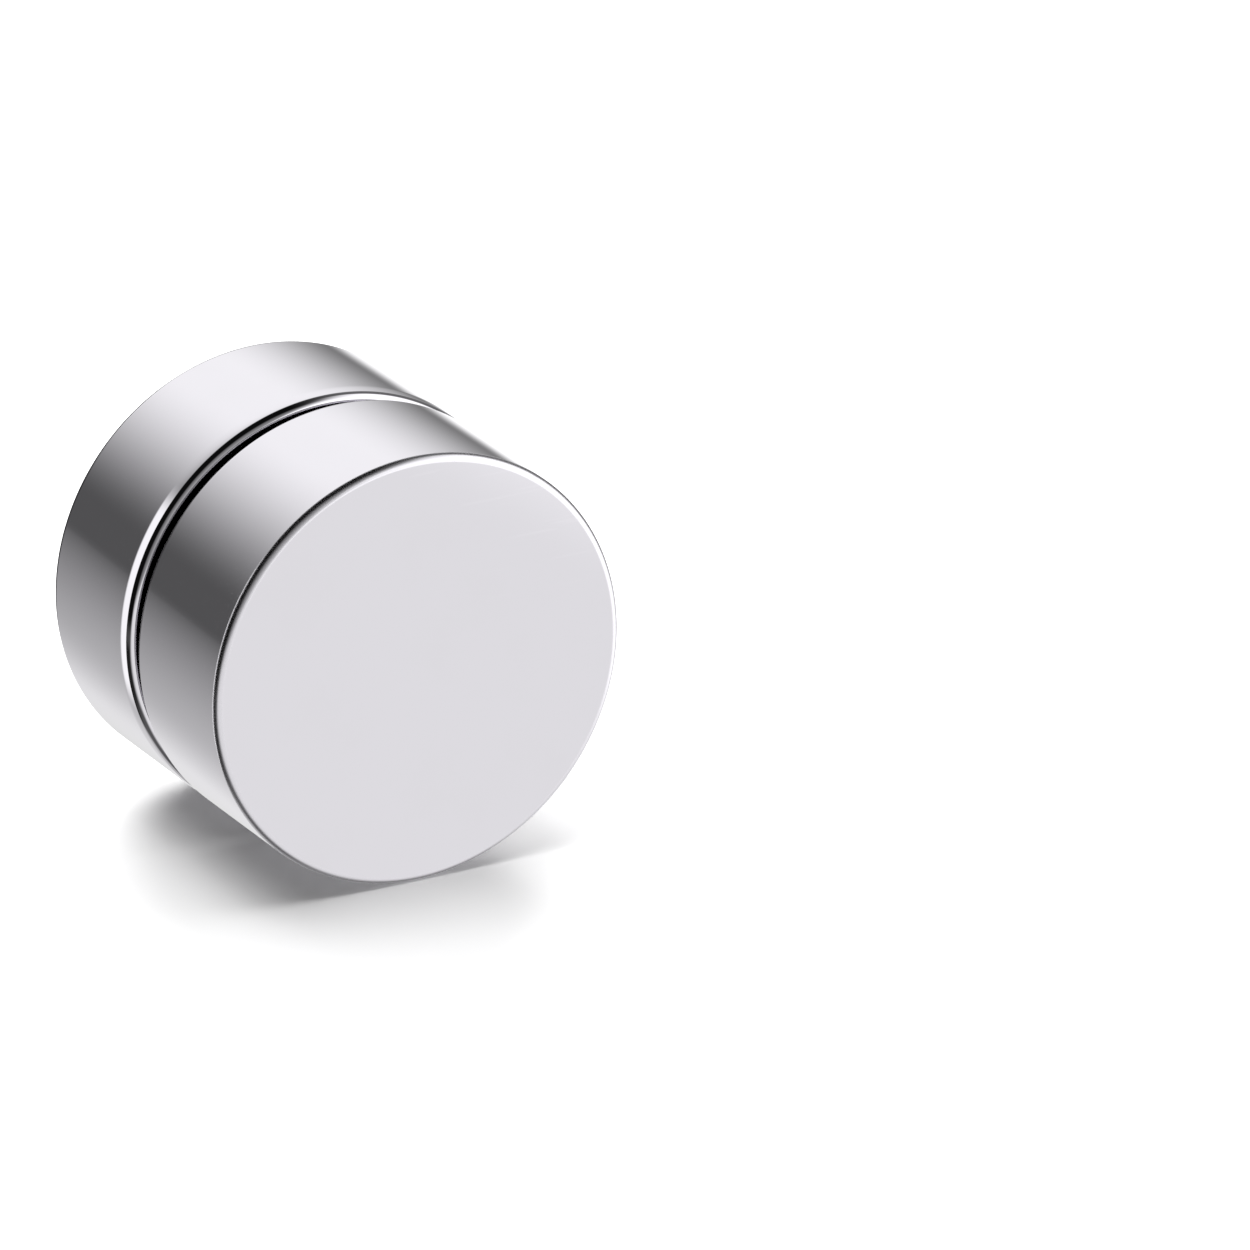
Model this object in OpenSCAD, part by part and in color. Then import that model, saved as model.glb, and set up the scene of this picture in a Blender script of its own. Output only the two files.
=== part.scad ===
// Magnetic stud earring, closed, lying on its round side.
// Each half is a polished steel drum with a magnet set into its rim side, and the two magnets
// hold the halves together through the ear lobe. Both halves share one axis, which runs along Y:
// the front face looks towards -Y and the back face towards +Y.
// The origin is on the surface that the earring lies on, under the middle of its length.

/* [Drums] */
// Outer diameter of both drums
drum_d = 8; // [7:0.5:12]
// Thickness of the front drum, from its face to its rim
front_t = 3; // [2.4:0.05:4]
// Thickness of the back drum, from its face to its rim
back_t = 2.95; // [2.4:0.05:4]
// Radius of the round on the edges of both faces
edge_r = 0.12; // [0.05:0.01:0.25]
// Radius of the round on the rims at the groove
rim_r = 0.16; // [0.05:0.01:0.25]

/* [Groove] */
// Width of the groove between the two rims
groove_w = 0.3; // [0.2:0.02:0.8]

/* [Magnets] */
// Diameter of both magnets
magnet_d = 6; // [4:0.5:6]
// Thickness of both magnets
magnet_t = 2; // [1:0.1:2]
// Radius of the round on the edges of the magnets
magnet_edge_r = 0.15; // [0.05:0.01:0.2]
// Glue line around and under each magnet
glue_line = 0.03; // [0.02:0.01:0.06]
// Clearance left between the two magnets when the earring is closed
magnet_gap = 0.02; // [0.02:0.01:0.1]
// Chamfer on the mouth of each recess
mouth_chamfer = 0.1; // [0.05:0.01:0.2]

/* [Hidden] */
$fn = 96;
length = front_t + groove_w + back_t;
axis_z = drum_d / 2;
proud = (groove_w - magnet_gap) / 2;
recess_d = magnet_d + 2 * glue_line;
recess_depth = magnet_t + glue_line - proud;
magnet_seat_front = front_t - recess_depth + glue_line;
magnet_seat_back = back_t - recess_depth + glue_line;
overcut = 1;

// Half section of a flat disc with rounded edges, from its axis outwards and standing on its face.
// The round at its foot is foot_r, and the one at its top is top_r.
module disc_section(r, t, foot_r, top_r) {
    square([r - foot_r, t / 2]);
    translate([0, t / 2]) square([r - top_r, t / 2]);
    translate([0, foot_r]) square([r, t - foot_r - top_r]);
    translate([r - foot_r, foot_r]) circle(foot_r);
    translate([r - top_r, t - top_r]) circle(top_r);
}

module disc(d, t, foot_r, top_r) {
    rotate_extrude() disc_section(d / 2, t, foot_r, top_r);
}

// Round recess for a magnet, open at height z, with a chamfered mouth
module recess(z) {
    translate([0, 0, z - recess_depth]) cylinder(h = recess_depth + overcut, d = recess_d);
    translate([0, 0, z - mouth_chamfer])
        cylinder(h = 2 * mouth_chamfer, d1 = recess_d, d2 = recess_d + 4 * mouth_chamfer);
}

// Drum with its face at height 0 and its open rim at height t
module drum(t) {
    color("gainsboro")
        difference() {
            disc(drum_d, t, edge_r, rim_r);
            recess(t);
        }
}

// Magnet that stands on the floor of a recess, seat above the drum's face
module magnet(seat) {
    color("silver") translate([0, 0, seat]) disc(magnet_d, magnet_t, magnet_edge_r, magnet_edge_r);
}

// Places a half with its face at the -Y end, looking towards -Y. Its seam is its lowest line,
// so that line reaches the full radius and is what the half lies on.
module at_front() {
    translate([0, -length / 2, axis_z]) rotate([-90, 0, 0]) rotate(90) children();
}

// Places a half with its face at the +Y end, looking towards +Y, with its seam lowest too
module at_back() {
    translate([0, length / 2, axis_z]) rotate([90, 0, 0]) rotate(-90) children();
}

at_front() drum(front_t);  // front_drum
at_front() magnet(magnet_seat_front);  // front_magnet
at_back() drum(back_t);  // back_drum
at_back() magnet(magnet_seat_back);  // back_magnet
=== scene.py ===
"""Magnetic stud earring: turned, polished and plated pieces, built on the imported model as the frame."""
import math

import bpy
from bpy.props import FloatProperty, FloatVectorProperty, IntProperty, PointerProperty
from bpy.types import Operator, Panel, PropertyGroup
from mathutils import Matrix, Vector


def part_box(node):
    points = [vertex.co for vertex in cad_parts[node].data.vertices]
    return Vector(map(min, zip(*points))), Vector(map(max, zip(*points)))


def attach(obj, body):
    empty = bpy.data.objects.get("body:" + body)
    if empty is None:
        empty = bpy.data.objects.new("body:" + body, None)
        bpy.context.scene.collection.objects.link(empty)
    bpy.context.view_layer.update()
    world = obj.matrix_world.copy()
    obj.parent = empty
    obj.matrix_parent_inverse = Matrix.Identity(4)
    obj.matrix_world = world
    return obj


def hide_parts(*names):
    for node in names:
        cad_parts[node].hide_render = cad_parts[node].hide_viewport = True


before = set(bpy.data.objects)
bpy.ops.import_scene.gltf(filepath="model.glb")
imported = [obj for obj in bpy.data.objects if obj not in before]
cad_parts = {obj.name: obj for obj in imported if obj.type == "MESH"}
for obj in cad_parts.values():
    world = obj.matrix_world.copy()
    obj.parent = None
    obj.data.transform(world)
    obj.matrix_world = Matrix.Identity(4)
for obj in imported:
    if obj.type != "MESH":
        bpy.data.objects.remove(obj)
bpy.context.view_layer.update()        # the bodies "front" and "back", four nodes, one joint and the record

bl_info = {
    "name": "Magnetic Stud Earring",
    "version": (1, 0, 0),
    "blender": (4, 5, 0),
    "location": "3D View > Sidebar > Earring",
    "description": "Two polished steel drums held together by plated magnets, and their studio",
    "category": "Object",
}

MM = 0.001
MERGE = 1e-7             # merge distance for seams and poles, far below the smallest ring spacing

AXIS_HEIGHT = round(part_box("front_drum")[1].z / 2 / MM, 1) * MM


def length_of(node):
    """Length of a node along the shared axis, to a hundredth of a millimetre."""
    low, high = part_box(node)
    return round((high.y - low.y) / MM, 2) * MM


def seat_of(drum, magnet):
    """Height of a magnet's underside above its drum's face."""
    (drum_low, drum_high), (low, high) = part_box(drum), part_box(magnet)
    return max(low.y - drum_low.y, drum_high.y - high.y)


# Sizes and finishes

class EarringSizes(PropertyGroup):
    """Sizes of the turned pieces"""
    drum_radius: FloatProperty(
        name="Drum Radius", description="Outer radius of both drums",
        default=AXIS_HEIGHT, unit="LENGTH", subtype="DISTANCE")
    drum_round: FloatProperty(
        name="Front Edge Round", description="Radius of the round on the front drum's face edge",
        default=0.14 * MM, unit="LENGTH", subtype="DISTANCE")
    back_round: FloatProperty(
        name="Back Edge Round", description="Radius of the round on the back drum's face edge",
        default=0.2 * MM, unit="LENGTH", subtype="DISTANCE")
    magnet_radius: FloatProperty(
        name="Magnet Radius", description="Radius of both magnets",
        default=3 * MM, unit="LENGTH", subtype="DISTANCE")
    magnet_round: FloatProperty(
        name="Magnet Edge Round", description="Radius of the round on the magnets' edges",
        default=0.15 * MM, unit="LENGTH", subtype="DISTANCE")
    glue_line: FloatProperty(
        name="Glue Line", description="Gap left around and under each magnet",
        default=0.03 * MM, unit="LENGTH", subtype="DISTANCE")
    rim_round: FloatProperty(
        name="Rim Round", description="Radius of the round on the drums' edges at the groove",
        default=0.16 * MM, unit="LENGTH", subtype="DISTANCE")
    taper_length: FloatProperty(
        name="Rim Taper Length", description="Length of the slight taper next to each rim",
        default=0.32 * MM, unit="LENGTH", subtype="DISTANCE")
    front_taper: FloatProperty(
        name="Front Taper", description="Length of the front drum's taper as a part of the back drum's",
        default=0.4, min=0.01, max=1, subtype="FACTOR")
    taper_depth: FloatProperty(
        name="Rim Taper Depth", description="How far the taper draws the rim in",
        default=0.03 * MM, unit="LENGTH", subtype="DISTANCE")
    taper_blend: FloatProperty(
        name="Taper Blend", description="Radius that blends the taper into the side",
        default=1.2 * MM, unit="LENGTH", subtype="DISTANCE")
    mouth_chamfer: FloatProperty(
        name="Mouth Chamfer", description="Chamfer on the mouth of each recess",
        default=0.1 * MM, unit="LENGTH", subtype="DISTANCE")
    broken_edge: FloatProperty(
        name="Broken Edge", description="Radius that breaks the sharp edges inside a recess",
        default=0.01 * MM, unit="LENGTH", subtype="DISTANCE")
    sides: IntProperty(
        name="Sides", description="Faces around each turned piece", default=320, min=32)
    round_segments: IntProperty(
        name="Round Segments", description="Faces across each rounded edge", default=14, min=2)


class EarringFinish(PropertyGroup):
    """Colours and wear of the metal"""
    steel_color: FloatVectorProperty(
        name="Steel", description="Colour of the polished steel",
        default=(0.722, 0.708, 0.745), size=3, subtype="COLOR", min=0, max=1)
    nickel_color: FloatVectorProperty(
        name="Nickel", description="Colour of the magnets' nickel plating",
        default=(0.66, 0.63, 0.585), size=3, subtype="COLOR", min=0, max=1)
    steel_roughness: FloatProperty(
        name="Steel Roughness", description="Roughness of the clean polished steel",
        default=0.03, min=0, max=1, subtype="FACTOR")
    turned_roughness: FloatProperty(
        name="Turned Roughness", description="Roughness of the recesses as turned, without polish",
        default=0.22, min=0, max=1, subtype="FACTOR")
    nickel_roughness: FloatProperty(
        name="Nickel Roughness", description="Roughness of the clean plating",
        default=0.14, min=0, max=1, subtype="FACTOR")
    wear: FloatProperty(
        name="Wear", description="Strength of the hairline scratches and smudges",
        default=1.0, min=0, max=2, subtype="FACTOR")
    edge_wear: FloatProperty(
        name="Edge Wear", description="Roughness that handling has added to the front face's edge",
        default=0.24, min=0, max=1, subtype="FACTOR")


class EarringStudio(PropertyGroup):
    """Light levels of the studio"""
    floor_color: FloatVectorProperty(
        name="Floor", description="Colour of the floor",
        default=(0.9, 0.9, 0.9), size=3, subtype="COLOR", min=0, max=1)
    ambient: FloatProperty(
        name="Ambient", description="Soft light that reaches the floor from all round",
        default=0.27, min=0)
    dark: FloatProperty(
        name="Dark Studio", description="Level of the unlit studio in reflections",
        default=0.11, min=0)


# Node helpers

def group(kind, name, inputs, outputs):
    """A new node group with its sockets, given as (name, type, default), and its two end nodes."""
    tree = bpy.data.node_groups.new(name, kind)
    for names, way in ((inputs, "INPUT"), (outputs, "OUTPUT")):
        for label, socket, *default in names:
            made = tree.interface.new_socket(label, in_out=way, socket_type="NodeSocket" + socket)
            if default:
                made.default_value = default[0]
    return tree, tree.nodes.new("NodeGroupInput"), tree.nodes.new("NodeGroupOutput")


def feed(tree, socket, value):
    """Sets a socket, or links it where the value is another socket."""
    if isinstance(value, bpy.types.NodeSocket):
        tree.links.new(value, socket)
    else:
        socket.default_value = value


def node(tree, kind, settings=None, **inputs):
    """A node with its settings, and its inputs by name (spaces as underscores) or by number (_0, _1)."""
    made = tree.nodes.new(kind)
    for key, value in (settings or {}).items():
        setattr(made, key, value)
    for key, value in inputs.items():
        number = key[1:]
        feed(tree, made.inputs[int(number) if number.isdigit() else key.replace("_", " ")], value)
    return made


def math_node(tree, operation, *values):
    """The result of a math node on values or sockets."""
    made = tree.nodes.new("ShaderNodeMath")
    made.operation = operation
    for socket, value in zip(made.inputs, values):
        feed(tree, socket, value)
    return made.outputs[0]


def reach(tree, first, second):
    """Distance from an axis, of the two lengths across it."""
    return math_node(tree, "SQRT", math_node(
        tree, "ADD", math_node(tree, "MULTIPLY", first, first),
        math_node(tree, "MULTIPLY", second, second)))


def ramp(tree, value, low, high, to_low=0.0, to_high=1.0, smooth=True):
    """Maps a value from low..high to to_low..to_high, and holds it at the ends."""
    made = node(tree, "ShaderNodeMapRange",
                {"interpolation_type": "SMOOTHSTEP" if smooth else "LINEAR", "clamp": True},
                Value=value, From_Min=low, From_Max=high, To_Min=to_low, To_Max=to_high)
    return made.outputs[0]


# Turned pieces

PROFILE_CORNERS = 8          # points of the half profile, before its corners are rounded


def turned_part_tree():
    """Lathe: a half profile with rounded corners, turned about Z. The piece stands on its face at
    height 0, and has a recess in its top where the recess radius is above 0."""
    tree, start, end = group(
        "GeometryNodeTree", "Turned Part",
        [("Radius", "Float", 4 * MM), ("Thickness", "Float", 3 * MM), ("Edge Round", "Float", 0.1 * MM),
         ("Rim Round", "Float", 0.1 * MM), ("Taper Length", "Float", 0.2 * MM),
         ("Taper Depth", "Float", 0.0), ("Taper Blend", "Float", 1 * MM),
         ("Recess Radius", "Float", 0.0), ("Recess Depth", "Float", 0.0), ("Mouth Chamfer", "Float", 0.0),
         ("Broken Edge", "Float", 0.01 * MM), ("Sides", "Int", 64), ("Round Segments", "Int", 8),
         ("Finish", "Material"), ("Recess Finish", "Material")],
        [("Geometry", "Geometry")])
    size = start.outputs

    def point(radial, height):
        return node(tree, "ShaderNodeCombineXYZ", X=radial, Z=height).outputs[0]

    top = size["Thickness"]
    mouth = math_node(tree, "ADD", size["Recess Radius"], size["Mouth Chamfer"])
    chamfer_foot = math_node(tree, "SUBTRACT", top, size["Mouth Chamfer"])
    recess_floor = math_node(tree, "SUBTRACT", top, size["Recess Depth"])
    corners = [
        point(0.0, 0.0), point(size["Radius"], 0.0),
        point(size["Radius"], math_node(tree, "SUBTRACT", top, size["Taper Length"])),
        point(math_node(tree, "SUBTRACT", size["Radius"], size["Taper Depth"]), top), point(mouth, top),
        point(size["Recess Radius"], chamfer_foot), point(size["Recess Radius"], recess_floor),
        point(0.0, recess_floor)]
    rounds = [0.0, size["Edge Round"], size["Taper Blend"], size["Rim Round"]]
    rounds += [size["Broken Edge"]] * 3 + [0.0]

    def by_corner(kind, values):
        switch = node(tree, "GeometryNodeIndexSwitch", {"data_type": kind})
        while len(switch.index_switch_items) < len(values):
            switch.index_switch_items.new()
        feed(tree, switch.inputs["Index"], node(tree, "GeometryNodeInputIndex").outputs[0])
        for socket, value in zip(list(switch.inputs)[1:], values):
            feed(tree, socket, value)
        return switch.outputs[0]

    line = node(tree, "GeometryNodeMeshLine", Count=PROFILE_CORNERS)
    placed = node(tree, "GeometryNodeSetPosition", Geometry=line.outputs[0],
                  Position=by_corner("VECTOR", corners))
    curve = node(tree, "GeometryNodeMeshToCurve", Mesh=placed.outputs[0])
    rounded = node(tree, "GeometryNodeFilletCurve", {"mode": "POLY"}, Curve=curve.outputs[0],
                   Count=size["Round Segments"], Radius=by_corner("FLOAT", rounds), Limit_Radius=True)
    profile = node(tree, "GeometryNodeCurveToMesh", Curve=rounded.outputs[0]).outputs[0]

    count = node(tree, "GeometryNodeAttributeDomainSize", {"component": "MESH"},
                 Geometry=profile).outputs["Point Count"]
    sheet = node(tree, "GeometryNodeMeshGrid", Size_X=1.0, Size_Y=1.0,
                 Vertices_X=math_node(tree, "ADD", size["Sides"], 1), Vertices_Y=count).outputs["Mesh"]
    spot = node(tree, "ShaderNodeSeparateXYZ",
                Vector=node(tree, "GeometryNodeInputPosition").outputs[0]).outputs
    row = math_node(tree, "ROUND", math_node(
        tree, "MULTIPLY", math_node(tree, "ADD", spot[1], 0.5), math_node(tree, "SUBTRACT", count, 1)))
    turn = math_node(tree, "MULTIPLY", math_node(tree, "ADD", spot[0], 0.5), math.tau)
    sample = node(tree, "GeometryNodeSampleIndex", {"data_type": "FLOAT_VECTOR", "domain": "POINT"},
                  Geometry=profile, Index=row)
    feed(tree, sample.inputs["Value"], node(tree, "GeometryNodeInputPosition").outputs[0])
    section = node(tree, "ShaderNodeSeparateXYZ", Vector=sample.outputs[0]).outputs
    swept = node(tree, "ShaderNodeCombineXYZ",
                 X=math_node(tree, "MULTIPLY", section[0], math_node(tree, "COSINE", turn)),
                 Y=math_node(tree, "MULTIPLY", section[0], math_node(tree, "SINE", turn)),
                 Z=section[2]).outputs[0]
    turned = node(tree, "GeometryNodeSetPosition", Geometry=sheet, Position=swept)
    closed = node(tree, "GeometryNodeMergeByDistance", Geometry=turned.outputs[0], Distance=MERGE)
    smooth = node(tree, "GeometryNodeSetShadeSmooth", Geometry=closed.outputs[0], Shade_Smooth=True)

    real = node(tree, "GeometryNodeRealizeInstances", Geometry=smooth.outputs[0])
    outer = node(tree, "GeometryNodeSetMaterial", Geometry=real.outputs[0], Material=size["Finish"])
    centre = node(tree, "ShaderNodeSeparateXYZ",
                  Vector=node(tree, "GeometryNodeInputPosition").outputs[0]).outputs
    within_mouth = math_node(tree, "LESS_THAN", reach(tree, centre[0], centre[1]), mouth)
    above_floor = math_node(tree, "GREATER_THAN", centre[2], math_node(
        tree, "SUBTRACT", recess_floor, size["Broken Edge"]))
    inside = math_node(tree, "MULTIPLY", within_mouth, above_floor)
    recess = node(tree, "GeometryNodeSetMaterial", Geometry=outer.outputs[0],
                  Selection=inside, Material=size["Recess Finish"])
    feed(tree, end.inputs[0], recess.outputs[0])
    return tree


def turn_piece(name, tree, face, seat, body, replaced, slot, **sizes):
    """Turns one piece, lays it along Y with its underside seat above the face at y = face, and hands
    it to its body. A front piece's face looks to -Y, a back piece's to +Y."""
    piece = bpy.data.objects.new(name, bpy.data.meshes.new(name))
    bpy.context.scene.collection.objects.link(piece)
    lathe = piece.modifiers.new("Lathe", "NODES")
    lathe.node_group = tree
    for item in tree.interface.items_tree:
        if item.item_type == "SOCKET" and item.in_out == "INPUT":
            key = item.name.lower().replace(" ", "_")
            if key in sizes:
                lathe[item.identifier] = sizes[key]
    flats = piece.modifiers.new("Even Normals", "WEIGHTED_NORMAL")
    flats.mode, flats.weight = "FACE_AREA", 50
    depsgraph = bpy.context.evaluated_depsgraph_get()
    mesh = bpy.data.meshes.new_from_object(piece.evaluated_get(depsgraph))
    if not mesh.polygons:
        raise RuntimeError("the lathe made no faces for " + name)
    piece.modifiers.clear()
    old, piece.data = piece.data, mesh
    bpy.data.meshes.remove(old)
    mesh.name = name
    side = -1 if face < 0 else 1
    stand = Matrix.Translation((0, face - side * seat, AXIS_HEIGHT))
    mesh.transform(stand @ Matrix.Rotation(side * math.pi / 2, 4, "X"))
    mesh.update()
    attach(piece, body)
    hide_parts(replaced)
    return piece


# Finishes

HAIRLINE_TURNS = ((0.3, 0.5, 0.1), (1.2, 0.2, 2.0), (2.2, 1.4, 0.9))
HAIRLINE_STRETCH = (0.35, 9.0, 9.0)
HAIRLINE_EDGE = 0.03         # how fast a hairline starts above its rarity
HAIRLINE_DULL = 0.035        # roughness that a hairline adds
HAIRLINE_SPACING, HAIRLINE_RARITY = 1.3, 0.7
SMUDGE_SIZE = 1.6            # mm
SMUDGE_TINT, SMUDGE_COLOR = 0.25, (0.97, 0.968, 0.96, 1)
RING_DEPTH = 0.02 * MM
EDGE_BLEND = 0.15            # where the worn edge fades out, as a part of its round


def hairline_group():
    """Thin straight scratches in three directions. Vector in millimetres."""
    tree, start, end = group(
        "ShaderNodeTree", "Hairline Scratches",
        [("Vector", "Vector"), ("Spacing", "Float", 1.0), ("Rarity", "Float", 0.66)],
        [("Mask", "Float")])
    total = None
    for turn in HAIRLINE_TURNS:
        laid = node(tree, "ShaderNodeMapping", Vector=start.outputs["Vector"], Rotation=turn,
                    Scale=HAIRLINE_STRETCH)
        streaks = node(tree, "ShaderNodeTexNoise", {"noise_dimensions": "3D"},
                       Vector=laid.outputs[0], Scale=start.outputs["Spacing"], Detail=1.0)
        fine = ramp(tree, streaks.outputs[0], start.outputs["Rarity"],
                    math_node(tree, "ADD", start.outputs["Rarity"], HAIRLINE_EDGE))
        total = fine if total is None else math_node(tree, "MAXIMUM", total, fine)
    feed(tree, end.inputs[0], total)
    return tree


def smudge_group():
    """Soft patches where handling has dulled the shine. Vector in millimetres."""
    tree, start, end = group(
        "ShaderNodeTree", "Handling Smudges",
        [("Vector", "Vector"), ("Size", "Float", 1.5)], [("Mask", "Float")])
    cloud = node(tree, "ShaderNodeTexNoise", Vector=start.outputs["Vector"],
                 Scale=math_node(tree, "DIVIDE", 1.0, start.outputs["Size"]), Detail=3.0, Roughness=0.55)
    feed(tree, end.inputs[0], ramp(tree, cloud.outputs[0], 0.45, 0.7))
    return tree


def turning_group():
    """Fine rings about the axis, left by the lathe. Vector in millimetres, axis along Y."""
    tree, start, end = group(
        "ShaderNodeTree", "Turning Rings",
        [("Vector", "Vector"), ("Pitch", "Float", 0.05)], [("Height", "Float")])
    spot = node(tree, "ShaderNodeSeparateXYZ", Vector=start.outputs["Vector"]).outputs
    path = math_node(tree, "ADD", reach(tree, spot[0], spot[2]), spot[1])
    along = math_node(tree, "DIVIDE", path, start.outputs["Pitch"])
    rings = node(tree, "ShaderNodeTexNoise", {"noise_dimensions": "1D"}, W=along, Scale=1.0, Detail=2.0)
    feed(tree, end.inputs[0], rings.outputs[0])
    return tree


def worn_edge(tree, place):
    """Mask of the front face's rounded edge. Place in millimetres, axis along Y."""
    edge_round = bpy.context.scene.earring_sizes.drum_round / MM
    corner = (AXIS_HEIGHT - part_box("front_drum")[0].y) / MM
    spot = node(tree, "ShaderNodeSeparateXYZ", Vector=place).outputs
    near = math_node(tree, "SUBTRACT", reach(tree, spot[0], spot[2]), spot[1])
    return ramp(tree, near, corner - (1 + EDGE_BLEND) * edge_round, corner - (1 - EDGE_BLEND) * edge_round)


def shared(name, make):
    """A node group by name, made on first use."""
    return bpy.data.node_groups.get(name) or make()


def metal(name, wear, color, roughness, dull, ring_bump, ring_pitch, edge_wear):
    """A metal finish with hairlines, smudges and turning rings from the shared groups."""
    material = bpy.data.materials.new(name)
    material.use_nodes = True
    tree = material.node_tree
    tree.nodes.clear()
    hairlines = shared("Hairline Scratches", hairline_group)
    smudges = shared("Handling Smudges", smudge_group)
    rings = shared("Turning Rings", turning_group)
    place = node(tree, "ShaderNodeMapping",
                 Vector=node(tree, "ShaderNodeTexCoord").outputs["Object"],
                 Location=(0, 0, -AXIS_HEIGHT / MM), Scale=(1 / MM,) * 3).outputs[0]
    scratch = node(tree, "ShaderNodeGroup", {"node_tree": hairlines},
                   Vector=place, Spacing=HAIRLINE_SPACING, Rarity=HAIRLINE_RARITY).outputs[0]
    smudge = node(tree, "ShaderNodeGroup", {"node_tree": smudges},
                  Vector=place, Size=SMUDGE_SIZE).outputs[0]
    ring = node(tree, "ShaderNodeGroup", {"node_tree": rings}, Vector=place, Pitch=ring_pitch).outputs[0]
    shine = math_node(tree, "ADD", roughness, math_node(
        tree, "ADD", math_node(tree, "MULTIPLY", scratch, HAIRLINE_DULL * wear),
        math_node(tree, "MULTIPLY", smudge, dull * wear)))
    if edge_wear:
        shine = math_node(tree, "ADD", shine, math_node(
            tree, "MULTIPLY", worn_edge(tree, place), edge_wear))
    tint = node(tree, "ShaderNodeMix", {"data_type": "RGBA", "blend_type": "MULTIPLY"},
                _0=math_node(tree, "MULTIPLY", smudge, SMUDGE_TINT * wear), _6=(*color, 1), _7=SMUDGE_COLOR)
    bump = node(tree, "ShaderNodeBump", Strength=ring_bump, Distance=RING_DEPTH, Height=ring)
    surface = node(tree, "ShaderNodeBsdfPrincipled", Base_Color=tint.outputs[2], Metallic=1.0,
                   Roughness=shine, Normal=bump.outputs[0])
    node(tree, "ShaderNodeOutputMaterial", Surface=surface.outputs[0])
    return material


def finish(name):
    """A metal finish by name, made on first use."""
    look = bpy.context.scene.earring_finish
    steel, nickel = tuple(look.steel_color), tuple(look.nickel_color)
    looks = {   # colour, roughness, dulling by smudges, depth and pitch of the turning rings, edge wear
        "Mirror Steel": (steel, look.steel_roughness, 0.02, 0.0, 0.05, look.edge_wear),
        "Turned Steel": (steel, look.turned_roughness, 0.08, 0.25, 0.03, 0),
        "Nickel Plate": (nickel, look.nickel_roughness, 0.06, 0.05, 0.05, 0),
    }
    return bpy.data.materials.get(name) or metal(name, look.wear, *looks[name])


# Body, drum and magnet of each half, and which corner of the drum's box its face is at
HALVES = (("front", "front_drum", "front_magnet", 0), ("back", "back_drum", "back_magnet", 1))


class EARRING_OT_drums(Operator):
    """Turn the two steel drums with their magnet recesses"""
    bl_idname = "earring.drums"
    bl_label = "Turn Drums"

    def execute(self, context):
        size, tree = context.scene.earring_sizes, shared("Turned Part", turned_part_tree)
        for body, drum, magnet, corner in HALVES:
            front = body == "front"
            taper = size.front_taper if front else 1.0
            thickness = length_of(drum)
            turn_piece(
                body + "_drum_steel", tree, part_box(drum)[corner].y, 0.0, body, drum, "polished_steel",
                radius=size.drum_radius, thickness=thickness,
                edge_round=size.drum_round if front else size.back_round, rim_round=size.rim_round,
                taper_length=taper * size.taper_length, taper_depth=taper * size.taper_depth,
                taper_blend=taper * size.taper_blend, recess_radius=size.magnet_radius + size.glue_line,
                recess_depth=thickness - seat_of(drum, magnet) + size.glue_line,
                mouth_chamfer=size.mouth_chamfer, broken_edge=size.broken_edge, sides=size.sides,
                round_segments=size.round_segments, finish=finish("Mirror Steel"),
                recess_finish=finish("Turned Steel"))
        return {"FINISHED"}


class EARRING_OT_magnets(Operator):
    """Make the two plated disc magnets"""
    bl_idname = "earring.magnets"
    bl_label = "Make Magnets"

    def execute(self, context):
        size, tree = context.scene.earring_sizes, shared("Turned Part", turned_part_tree)
        for body, drum, magnet, corner in HALVES:
            turn_piece(
                body + "_magnet_plate", tree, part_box(drum)[corner].y, seat_of(drum, magnet), body, magnet,
                "nickel_plate", radius=size.magnet_radius, thickness=length_of(magnet),
                edge_round=size.magnet_round, rim_round=size.magnet_round,
                taper_length=2 * size.magnet_round, taper_depth=0.0, taper_blend=0.0,
                recess_radius=0.0, recess_depth=0.0, mouth_chamfer=0.0, broken_edge=0.0,
                sides=size.sides, round_segments=size.round_segments,
                finish=finish("Nickel Plate"), recess_finish=finish("Nickel Plate"))
        return {"FINISHED"}


# Studio

VIEW_AZIMUTH = math.radians(-28.702)
VIEW_ELEVATION = math.radians(22.494)
VIEW_DISTANCE = 351.9 * MM
AIM_RIGHT = 5.101 * MM       # the aim lies right of the earring's middle, so it stands left in the frame
AIM_DOWN = 0.253 * MM
LENS, SENSOR = 576.0, 36.0   # mm
CLIP = 0.01, 10.0            # m
FLOOR_HALF = 1.0             # m

# Soft panels and dark flags round the earring, as reflections see them, in degrees. Around turns about
# the earring's axis, from 0 straight up towards +X, and out is the angle from the axis behind it. Each
# is laid over the ones before: its middle around, its four edges around the middle (fade in, full from,
# full to and fade out), the same four edges out, and its level.
PANELS = {
    "dark backdrop": (-160, (-110, -90, 110, 165), (-2, -1, 24, 31), 0.05),
    "right wall": (75, (-60, -30, 20, 34), (-2, -1, 70, 100), 0.18),
    "back lamp": (20, (-96, -14, 10, 84), (-2, -1, 44, 56), 1.20),
    "dark gap behind": (0, (-182, -181, 181, 182), (-2, -1, 10, 15), 0.04),
    "front wall": (0, (-182, -181, 181, 182), (104, 184, 185, 186), 0.55),
    "front floor": (175, (-82, -55, 76, 96), (100, 138, 185, 186), 1.0),
    "front key": (85, (-70, -40, 36, 42.5), (84, 98, 154, 170), 1.6),
    "left floor shade": (-125, (-34, -18, 10, 22), (42, 54, 96, 126), 0.02),
    "left flag": (-50, (-72, -50, 60, 84), (48, 60, 110, 128), 0.005),
    "shadow at the front left": (-160, (-34, -16, 14, 30), (62, 88, 104, 130), 0.12),
    "shadow below": (162, (-28, -14, 12, 30), (36, 50, 84, 122), 0.27),
    "left strip": (-78, (-80, -60, 18, 36), (38, 43, 50, 55), 1.3),
    "white behind": (128, (-36, -13, 5, 9), (28, 32, 40, 44), 1.25),
}

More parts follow.
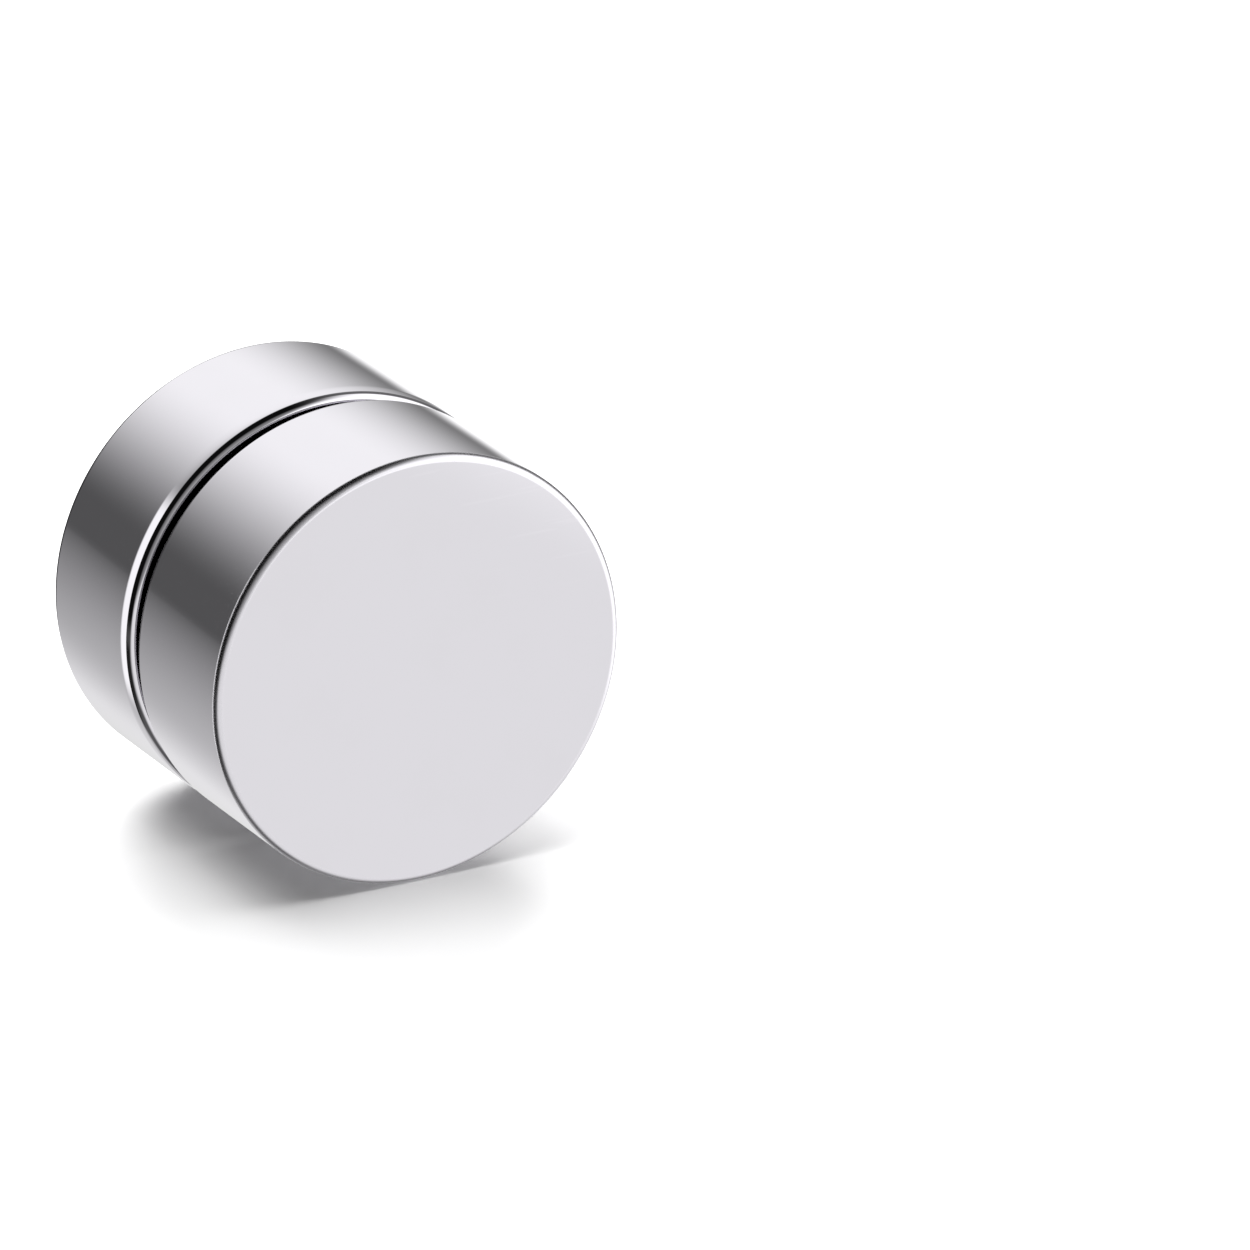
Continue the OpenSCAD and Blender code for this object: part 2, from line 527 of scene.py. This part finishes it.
# Soft lamps that light the floor and leave no reflection: azimuth from +Y towards +X and elevation in
# degrees, width and height in mm, and watts. Each looks at the origin.
LAMPS = {
    "back lamp": (28, 30, 150, 75, 0.594),
    "left lamp": (-60, 67, 180, 80, 0.23),
    "top lamp": (0, 90, 140, 140, 0.21),
}
LAMP_DISTANCE = 200 * MM

# The floor as reflections see it, painted into the world in place of the real floor, which they don't see:
# its level rises with the drop below the horizon, in degrees, and is lower to the left of the azimuths
# given, as painted shade
FLOOR_START = 1.0, 4.0
FLOOR_DROP, FLOOR_CURVE = (3.0, 35.0), 0.8
FLOOR_FAR, FLOOR_RISE = 0.20, 0.74
FLOOR_LEFT, FLOOR_LEFT_LEVEL = (-22.0, 8.0), 0.68


def band(tree, value, edges):
    """1 between the two middle edges, fading to 0 at the outer ones."""
    rise = ramp(tree, value, edges[0], edges[1])
    return math_node(tree, "MULTIPLY", rise, ramp(tree, value, edges[2], edges[3], 1.0, 0.0))


def panel_group():
    """One soft-edged patch of the directions round the earring."""
    names = [way + " " + step for way in ("Around", "Out")
             for step in ("Fade In", "Full From", "Full To", "Fade Out")]
    tree, start, end = group(
        "ShaderNodeTree", "Soft Panel",
        [("Around", "Float"), ("Out", "Float"), ("Middle", "Float")] + [(name, "Float") for name in names],
        [("Mask", "Float")])
    size = start.outputs
    off = math_node(tree, "WRAP", math_node(tree, "SUBTRACT", size["Around"], size["Middle"]), 180.0, -180.0)
    sides = band(tree, off, [size[name] for name in names[:4]])
    depth = band(tree, size["Out"], [size[name] for name in names[4:]])
    feed(tree, end.inputs[0], math_node(tree, "MULTIPLY", sides, depth))
    return tree


def studio_world(studio):
    """White to the camera, soft panels to reflections, and even soft light to everything else."""
    world = bpy.data.worlds.new("Studio")
    world.use_nodes = True
    world.cycles.sampling_method = "NONE"
    tree = world.node_tree
    tree.nodes.clear()
    way = node(tree, "ShaderNodeSeparateXYZ",
               Vector=node(tree, "ShaderNodeTexCoord").outputs["Generated"]).outputs

    def degrees(operation, *values):
        return math_node(tree, "DEGREES", math_node(tree, operation, *values))

    around, out = degrees("ARCTAN2", way[0], way[2]), degrees("ARCCOSINE", way[1])
    azimuth = degrees("ARCTAN2", way[0], way[1])
    drop = degrees("ARCSINE", math_node(tree, "MULTIPLY", way[2], -1.0))

    # painted shade of the floor in reflections: darker towards the horizon and to the left
    depth = math_node(tree, "POWER", ramp(tree, drop, *FLOOR_DROP, smooth=False), FLOOR_CURVE)
    floor = math_node(tree, "MULTIPLY_ADD", depth, FLOOR_RISE, FLOOR_FAR)
    floor = math_node(tree, "MULTIPLY", floor, ramp(tree, azimuth, *FLOOR_LEFT, FLOOR_LEFT_LEVEL, 1.0))

    def over(level, light, mask):
        return node(tree, "ShaderNodeMix", {"data_type": "FLOAT"}, _0=mask, _2=level, _3=light).outputs[0]

    level = over(studio.dark, floor, ramp(tree, drop, *FLOOR_START))
    panel = panel_group()
    for name, (middle, sides, depths, light) in PANELS.items():
        made = node(tree, "ShaderNodeGroup", {"node_tree": panel, "label": name},
                    Around=around, Out=out, Middle=float(middle))
        for socket, value in zip(list(made.inputs)[3:], sides + depths):
            socket.default_value = value
        level = over(level, light, made.outputs[0])

    ray = node(tree, "ShaderNodeLightPath").outputs
    soft = over(studio.ambient, 1.0, ray["Is Camera Ray"])
    back = node(tree, "ShaderNodeBackground", Color=(1, 1, 1, 1),
                Strength=over(soft, level, ray["Is Glossy Ray"]))
    node(tree, "ShaderNodeOutputWorld", Surface=back.outputs[0])
    bpy.context.scene.world = world


def floor_material(studio):
    """Matt white floor, clear from below."""
    material = bpy.data.materials.new("Pale Floor")
    material.use_nodes = True
    tree = material.node_tree
    tree.nodes.clear()
    matt = node(tree, "ShaderNodeBsdfDiffuse", Color=(*studio.floor_color, 1))
    clear = node(tree, "ShaderNodeBsdfTransparent")
    below = node(tree, "ShaderNodeNewGeometry").outputs["Backfacing"]
    sheet = node(tree, "ShaderNodeMixShader", _0=below, _1=matt.outputs[0], _2=clear.outputs[0])
    node(tree, "ShaderNodeOutputMaterial", Surface=sheet.outputs[0])
    return material


def add_lamps(scene):
    """Soft area lamps that neither the camera nor reflections see."""
    for name, (azimuth, elevation, width, height, power) in LAMPS.items():
        turn, rise = math.radians(azimuth), math.radians(elevation)
        way = Vector((math.sin(turn) * math.cos(rise), math.cos(turn) * math.cos(rise), math.sin(rise)))
        data = bpy.data.lights.new(name, "AREA")
        data.energy, data.shape, data.size, data.size_y = power, "RECTANGLE", width * MM, height * MM
        lamp = bpy.data.objects.new(name, data)
        lamp.location = LAMP_DISTANCE * way
        lamp.rotation_euler = (-way).to_track_quat("-Z", "Y").to_euler()
        lamp.visible_glossy = False
        lamp.visible_camera = False
        scene.collection.objects.link(lamp)


class EARRING_OT_studio(Operator):
    """Lay the floor, set the lights and the world, and place the camera"""
    bl_idname = "earring.studio"
    bl_label = "Set Studio"

    def execute(self, context):
        scene = context.scene
        studio = scene.earring_studio
        mesh = bpy.data.meshes.new("floor")
        corners = [(x * FLOOR_HALF, y * FLOOR_HALF, 0) for x, y in ((-1, -1), (1, -1), (1, 1), (-1, 1))]
        mesh.from_pydata(corners, [], [(0, 1, 2, 3)])
        mesh.materials.append(floor_material(studio))
        floor = bpy.data.objects.new("floor", mesh)
        scene.collection.objects.link(floor)
        floor.visible_glossy = False
        studio_world(studio)
        add_lamps(scene)

        turn, tilt = VIEW_AZIMUTH, VIEW_ELEVATION
        right = Vector((math.cos(turn), math.sin(turn), 0))
        up = Vector((-math.sin(tilt) * math.sin(turn), math.sin(tilt) * math.cos(turn),
                     math.cos(tilt)))
        ahead = up.cross(right)
        aim = Vector((0, 0, AXIS_HEIGHT)) + AIM_RIGHT * right - AIM_DOWN * up
        data = bpy.data.cameras.new("camera")
        data.lens, data.sensor_width = LENS, SENSOR
        data.clip_start, data.clip_end = CLIP
        camera = bpy.data.objects.new("camera", data)
        camera.location = aim - VIEW_DISTANCE * ahead
        camera.rotation_euler = ahead.to_track_quat("-Z", "Y").to_euler()
        scene.collection.objects.link(camera)
        scene.camera = camera
        scene.view_settings.view_transform = "Standard"
        return {"FINISHED"}


class EARRING_PT_build(Panel):
    """Build steps and sizes"""
    bl_idname = "EARRING_PT_build"
    bl_label = "Earring"
    bl_space_type = "VIEW_3D"
    bl_region_type = "UI"
    bl_category = "Earring"

    def draw(self, context):
        scene, layout = context.scene, self.layout
        for step in (EARRING_OT_drums, EARRING_OT_magnets, EARRING_OT_studio):
            layout.operator(step.bl_idname)
        for values in (scene.earring_sizes, scene.earring_finish, scene.earring_studio):
            box = layout.box()
            for name in values.__annotations__:
                box.prop(values, name)


CLASSES = (EarringSizes, EarringFinish, EarringStudio, EARRING_OT_drums, EARRING_OT_magnets,
           EARRING_OT_studio, EARRING_PT_build)


def register():
    for cls in CLASSES:
        bpy.utils.register_class(cls)
    bpy.types.Scene.earring_sizes = PointerProperty(type=EarringSizes)
    bpy.types.Scene.earring_finish = PointerProperty(type=EarringFinish)
    bpy.types.Scene.earring_studio = PointerProperty(type=EarringStudio)


def unregister():
    for name in ("earring_sizes", "earring_finish", "earring_studio"):
        delattr(bpy.types.Scene, name)
    for cls in reversed(CLASSES):
        bpy.utils.unregister_class(cls)


def main():
    register()
    bpy.ops.earring.drums()
    bpy.ops.earring.magnets()
    bpy.ops.earring.studio()


if __name__ == "__main__":
    main()
